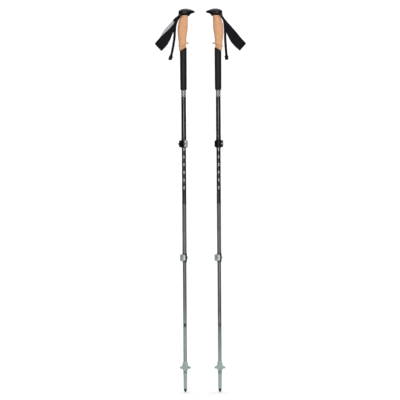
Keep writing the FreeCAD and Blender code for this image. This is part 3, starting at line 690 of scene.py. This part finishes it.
def make_cork(pole, material):
    """The cork grip: an oval that follows the hand, with a slanting pinky rest near its foot."""
    rings = []
    worn = []
    for rise in steps(CORK_RINGS):
        ring = []
        for angle in around(CORK_AROUND):
            across, ahead = math.sin(angle), math.cos(angle)
            height = SEAM_HEIGHT + SEAM_SLOPE * SEAM_REACH * ahead
            height += (CORK[-1][0] - height) * rise
            rear, front, half = curve_through(CORK, height)
            x = (front + rear) / 2 + (front - rear) / 2 * ahead
            y = half * across
            away = height - (REST_HEIGHT + REST_SLOPE * x)
            proud = 1.7 * math.exp(-(away / 2.1) ** 2)
            spur = max(0.0, ahead) ** 6 * math.exp(-((away - 0.4) / 2.0) ** 2)
            rear_bump = max(0.0, -ahead) ** 4 * math.exp(-(away / 2.0) ** 2)
            hollow = 0.7 * math.exp(-((away + 4.6) / 2.4) ** 2)
            out = 1 + (proud + 8.4 * spur + 1.6 * rear_bump - hollow) / math.hypot(x, y)
            # Painted shade in the crease under the rest and at the rear bump, and a darker spur
            # tip, kept per point for the cork's paint.
            crease_shade = math.exp(-((away + 2.6) / 1.0) ** 2) * (0.45 + 0.35 * ahead)
            painted_shade_and_dark_spur = 1.9 * max(0.0, spur - 0.2) + 0.5 * rear_bump + crease_shade
            worn.append((min(1.0, painted_shade_and_dark_spur), 0.0))
            ring.append(pole.at(x * out * MM, y * out * MM, height * MM))
        rings.append(ring)
    seam, crown = [], []
    for angle in around(CORK_AROUND):
        x, y = CORK_BORE * math.sin(angle + math.pi / 2), CORK_BORE * math.sin(angle)
        seam.append(pole.at(x * MM, y * MM, (SEAM_HEIGHT + SEAM_SLOPE * x) * MM))
        crown.append(pole.at(x * MM, y * MM, CORK[-1][0] * MM))
    undarkened = [(0.0, 0.0)] * CORK_AROUND
    cork = skin(pole.node("cork"), [seam] + rings + [crown], material, closed=True,
                weave=undarkened + worn + undarkened)
    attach(cork, pole.node("upper"))
    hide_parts(pole.node("cork_grip"))


FOAM_RADIUS = (10.6, 11.15)
FOAM_BORE = 7.82
FOAM_GAP = 0.3
FOAM_RINGS, FOAM_AROUND = 140, 72


def round_point(pole, radius, angle, height):
    """A point of a round piece, in millimetres, in the row's frame."""
    return pole.at(radius * MM * math.cos(angle), radius * MM * math.sin(angle), height * MM)


def make_foam(pole, material):
    """The foam sleeve: slightly tapered, its foot rounded, its top cut to the cork's slant."""
    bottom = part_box(pole.node("foam_sleeve"))[0].z / MM
    top_middle = SEAM_HEIGHT - FOAM_GAP
    rings = []
    for rise in steps(FOAM_RINGS):
        ring = []
        for angle in around(FOAM_AROUND):
            top = top_middle + SEAM_SLOPE * SEAM_REACH * math.cos(angle)
            height = bottom + (top - bottom) * rise
            radius = FOAM_RADIUS[0] + (FOAM_RADIUS[1] - FOAM_RADIUS[0]) * rise
            radius += 0.10 * math.sin(height * 0.21) * math.sin(2 * angle + height * 0.05)
            foot = max(0.0, 1 - (height - bottom) / 3.0)
            radius -= 2.2 * (1 - math.sqrt(max(0.0, 1 - foot**2)))
            lip = max(0.0, 1 - (top - height) / 1.4)
            radius -= 0.5 * lip**2
            ring.append(round_point(pole, radius, angle, height))
        rings.append(ring)
    low = [round_point(pole, FOAM_BORE, a, bottom) for a in around(FOAM_AROUND)]
    high = [round_point(pole, FOAM_BORE, a, top_middle + SEAM_SLOPE * FOAM_BORE * math.cos(a))
            for a in around(FOAM_AROUND)]
    foam = skin(pole.node("foam"), [low] + rings + [high], material, closed=True)
    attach(foam, pole.node("upper"))
    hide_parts(pole.node("foam_sleeve"))


# ---------------------------------------------------------------------------------------------
# Wrist strap, in its own frame: p along it from the pin, y across the loop, w over its width
# ---------------------------------------------------------------------------------------------

STRAP_TURN = math.radians(137.9)
STRAP_LONG = 122.2
FOLD_R = 10.2
FOLD_FROM = STRAP_LONG - 11.5
LEG_GAP = 3.3
LEG_STATIONS, FOLD_STATIONS = 44, 17
WEB_THICK, PAD_THICK = 2.0, 1.5
SEAM_IN = 2.2
# Each layer's upper and lower edge over its width at distances along the strap.
FACES = {
    "left": [(0, -4.2, 4.2), (12, -1.6, 8.2), (20, 1.0, 11.0), (34, 6.6, 17.5), (53, 9.4, 26.6),
             (79, 9.8, 38.6), (101, 10.8, 44.2), (122.2, 13.2, 44.8)],
    "right": [(0, -4.2, 4.2), (12, -0.8, 8.6), (20, 1.4, 12.6), (34, 4.0, 22.5), (53, 6.6, 32.0),
              (79, 9.8, 42.2), (101, 12.6, 45.3), (122.2, 14.4, 45.3)],
}
FLARE = {"left": 1.45, "right": 0.15}


def strap_point(pole, p, y, w):
    """A point of the strap's frame, in millimetres, in the row's frame."""
    pin = middle(pole.node("strap_pin"))
    along = (math.sin(STRAP_TURN), math.cos(STRAP_TURN))
    x = -abs(pin.x - pole.x) / MM + p * math.cos(STRAP_TURN) + w * along[0]
    z = pin.z / MM - p * along[0] + w * along[1]
    return pole.at(x * MM, y * MM, z * MM)


def strap_side(p):
    """Half the gap between the loop's layers, to the middle of a layer."""
    return LEG_GAP + (FOLD_R - LEG_GAP) * max(0.0, min(1.0, (p - 6) / (FOLD_FROM - 6))) ** 0.9


def strap_stations(pole, first, inset):
    """The loop's middle line and its width: near leg, fold, far leg."""
    faces = FACES[pole.side]
    stations = []
    legs = [first + (FOLD_FROM - first) * t for t in steps(LEG_STATIONS)]
    for hand, line in ((-1, legs), (1, legs[::-1])):
        for p in line:
            upper, lower = curve_through(faces, p)
            swell = max(0.0, math.sin(math.pi * min(p, 100) / 100))
            flare = FLARE[pole.side] * swell if hand > 0 else 0.0
            upper -= 7.5 * flare
            wave = 0.5 * math.sin(p * 0.11 + hand)
            y = hand * (strap_side(p) - inset) + wave * min(1.0, p / 40)
            twist = max(0.0, 1 - p / 42) ** 1.3 * hand
            stations.append((p, y, upper + 1.2 * abs(twist), lower - 1.2 * abs(twist), twist))
        if hand < 0:
            for t in steps(FOLD_STATIONS)[1:-1]:
                angle = math.pi * t
                p = FOLD_FROM + (FOLD_R - inset) * math.sin(angle)
                upper, lower = curve_through(faces, p)
                stations.append((p, -(FOLD_R - inset) * math.cos(angle), upper, lower, 0.0))
    return stations


def heading(stations, i):
    """The way the loop's middle line runs at a station, along p and y."""
    before, after = stations[max(i - 1, 0)], stations[min(i + 1, len(stations) - 1)]
    return Vector((after[0] - before[0], after[1] - before[1])).normalized()


def band(name, pole, stations, thick, margin, material, slot):
    """Webbing over stations: a thin rounded section that may twist out of the strap's face."""
    rings = []
    weave = []
    long = 0.0
    for i, (p, y, upper, lower, twist) in enumerate(stations):
        run = heading(stations, i)
        before = stations[max(i - 1, 0)]
        long += math.hypot(p - before[0], y - before[1])
        upper, lower = upper + margin, lower - margin
        middle_w, half = (upper + lower) / 2, (lower - upper) / 2
        ring = []
        for across, out in band_section(half, thick):
            y_out = y + run.x * out + across * twist * 0.9
            ring.append(strap_point(pole, p - run.y * out, y_out, middle_w + across))
            weave.append((across * MM, long * MM))
        rings.append(ring)
    return skin(name, rings, material, weave=weave)


def band_section(half, thick):
    """A flat section with round edges, as (across, out) pairs."""
    section = []
    inner = half - thick / 2
    for t in steps(9):
        section.append((-inner + 2 * inner * t, thick / 2))
    for t in (0.25, 0.5, 0.75):
        angle = math.pi * (0.5 - t)
        section.append((inner + thick / 2 * math.cos(angle), thick / 2 * math.sin(angle)))
    for t in steps(9):
        section.append((inner - 2 * inner * t, -thick / 2))
    for t in (0.25, 0.5, 0.75):
        angle = math.pi * (1.5 - t)
        section.append((-inner + thick / 2 * math.cos(angle), thick / 2 * math.sin(angle)))
    return section


STITCH_LONG, STITCH_GAP, STITCH_THICK, STITCH_SIDES = 2.6, 1.3, 0.34, 6
# A stitch's rings: part of its length, and part of its thickness.
STITCH = ((0.0, 0.35), (0.2, 0.85), (0.5, 1.0), (0.8, 0.85), (1.0, 0.35))


def stitches(name, route, body, material):
    """A row of raised stitches. Route gives the point and the outward way at a distance."""
    points, faces = [], []
    sides = STITCH_SIDES
    last = (len(STITCH) - 1) * sides
    for i in range(int(route[-1][0] / (STITCH_LONG + STITCH_GAP))):
        start = len(points)
        for t, swell in STITCH:
            distance = i * (STITCH_LONG + STITCH_GAP) + STITCH_LONG * t
            place, out, side = read_route(route, distance)
            centre = place + out * (STITCH_THICK * 0.55 * math.sin(math.pi * t)) * MM
            for a in around(sides):
                off = out * math.sin(a) + side * math.cos(a)
                points.append(centre + off * STITCH_THICK * swell * MM)
        for a in range(len(STITCH) - 1):
            for b in range(sides):
                here, there, after = start + a * sides, start + (a + 1) * sides, (b + 1) % sides
                faces.append((here + b, here + after, there + after, there + b))
        faces.append(tuple(start + b for b in range(sides))[::-1])
        faces.append(tuple(start + last + b for b in range(sides)))
    thing = add_piece(name, points, faces, material)
    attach(thing, body)


def read_route(route, distance):
    """The point, outward way and sideways way at a distance along a route."""
    for before, after in zip(route, route[1:]):
        if distance <= after[0] or after is route[-1]:
            t = (distance - before[0]) / max(after[0] - before[0], 1e-9)
            ways = [before[n].lerp(after[n], t).normalized() for n in (2, 3)]
            return [before[1].lerp(after[1], t)] + ways


def edge_route(pole, stations, thick, edge, margin):
    """The line a given distance inside one edge of the band, on its outer face."""
    route = []
    for i, (p, y, upper, lower, twist) in enumerate(stations):
        run = heading(stations, i)
        across = (lower - upper) / 2 - margin
        across = -across if edge < 0 else across
        w = (upper + lower) / 2 + across
        lean = across * twist * 0.9
        out = -thick / 2
        place = strap_point(pole, p - run.y * out, y + run.x * out + lean, w)
        outward = strap_point(pole, p + run.y, y - run.x, w) - strap_point(pole, p, y, w)
        side = strap_point(pole, p, y, w + 1) - strap_point(pole, p, y, w)
        far = route[-1][0] + (place - route[-1][1]).length / MM if route else 0.0
        route.append((far, place, outward.normalized(), side.normalized()))
    return route


EYE_OUTER, EYE_INNER, EYE_HALF, EYE_EDGE, EYE_AROUND = 4.1, 2.15, 7.2, 0.6, 32


def make_eye(pole, web, body):
    """The webbing's turn round the pin, which both legs of the loop grow out of."""
    section = [(-EYE_HALF, EYE_OUTER - EYE_EDGE), (-EYE_HALF + EYE_EDGE, EYE_OUTER),
               (EYE_HALF - EYE_EDGE, EYE_OUTER), (EYE_HALF, EYE_OUTER - EYE_EDGE),
               (EYE_HALF, EYE_INNER), (-EYE_HALF, EYE_INNER)]
    rings, weave = [], []
    for y, radius in section:
        rings.append([strap_point(pole, radius * math.cos(a), y, radius * math.sin(a))
                      for a in around(EYE_AROUND)])
        weave += [(y * MM, radius * a * MM) for a in around(EYE_AROUND)]
    eye = skin(pole.node("strap_eye"), rings, web, closed=True, weave=weave)
    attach(eye, body)


def make_strap(pole, web, lining, thread):
    body = pole.node("strap")
    make_eye(pole, web, body)
    stations = strap_stations(pole, 3.0, 0.0)
    loop = band(pole.node("webbing"), pole, stations, WEB_THICK, 0.0, web, "webbing")
    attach(loop, body)
    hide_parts(pole.node("strap_loop"))
    inner = strap_stations(pole, 26.0, 1.75)
    pad = band(pole.node("pad"), pole, inner, PAD_THICK, 1.0, lining, "lining")
    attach(pad, body)
    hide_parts(pole.node("strap_lining"))
    for name, edge in (("upper", -1), ("lower", 1)):
        route = edge_route(pole, stations, WEB_THICK, edge, SEAM_IN)
        stitches(pole.node("stitch_" + name), route, body, thread)


# Tail: distance behind the axis and height of its middle line, in millimetres.
TAILS = {
    "left": [(12.6, 1226.0), (20.0, 1214.2), (26.4, 1190.6), (29.2, 1153.6),
             (34.4, 1122.2), (39.9, 1097.0), (44.4, 1084.6)],
    "right": [(12.8, 1226.0), (20.0, 1214.2), (23.4, 1192.0), (24.0, 1172.0),
              (24.2, 1150.0), (26.0, 1122.0), (28.6, 1084.2)],
}
TAIL_RINGS = 70
FOLD_LONG = 14.5


def make_tail(pole, web):
    """The narrow free end of the webbing, and the folded end sewn back on itself."""
    line = [(-height, behind) for behind, height in TAILS[pole.side]]
    rings = []
    weave = []
    low, high = line[0][0], line[-1][0]
    for step in steps(TAIL_RINGS):
        t = low + (high - low) * step
        behind = curve_through(line, t)[0]
        slope = (curve_through(line, t + 1)[0] - curve_through(line, t - 1)[0]) / 2
        run = Vector((-slope, -1)).normalized()
        left = high - t
        folded = min(1.0, max(0.0, (FOLD_LONG - left) / 1.6))
        bump = math.exp(-((left - 10.5) / 2.4) ** 2)
        half = 4.1 + 1.5 * folded + 0.8 * bump - 0.9 * max(0.0, 1 - left / 1.2)
        thick = 1.5 + 2.3 * folded - 1.0 * max(0.0, 1 - left / 1.0)
        ring = []
        for across, out in band_section(half, thick):
            x = -behind + across * run.y
            z = -t - across * run.x
            sway = 0.5 * math.sin(t * 0.06)
            ring.append(pole.at(x * MM, (out + sway) * MM, z * MM))
            weave.append((across * MM, t * MM))
        rings.append(ring)
    tail = skin(pole.node("tail"), rings, web, weave=weave)
    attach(tail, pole.node("tail"))
    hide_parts(pole.node("strap_tail"))


# ---------------------------------------------------------------------------------------------
# The scene
# ---------------------------------------------------------------------------------------------

make_camera()
make_stage()
make_lights()
bpy.context.scene.view_settings.view_transform = "Standard"

poles = [Pole(side) for side in SIDES]
cork_material = cork_paint()
foam_material = foam_paint()
head_material = head_paint()
web_material = web_paint("webbing", shade(9, 8, 13), shade(28, 27, 34), 1.5 * MM)
lining_material = web_paint("lining", shade(176, 176, 178), shade(226, 226, 228), 0.9 * MM)
thread_material = thread_paint()
dress_poles(poles)
for pole in poles:
    make_head(pole, head_material)
    make_cork(pole, cork_material)
    make_foam(pole, foam_material)
    make_strap(pole, web_material, lining_material, thread_material)
    make_tail(pole, web_material)
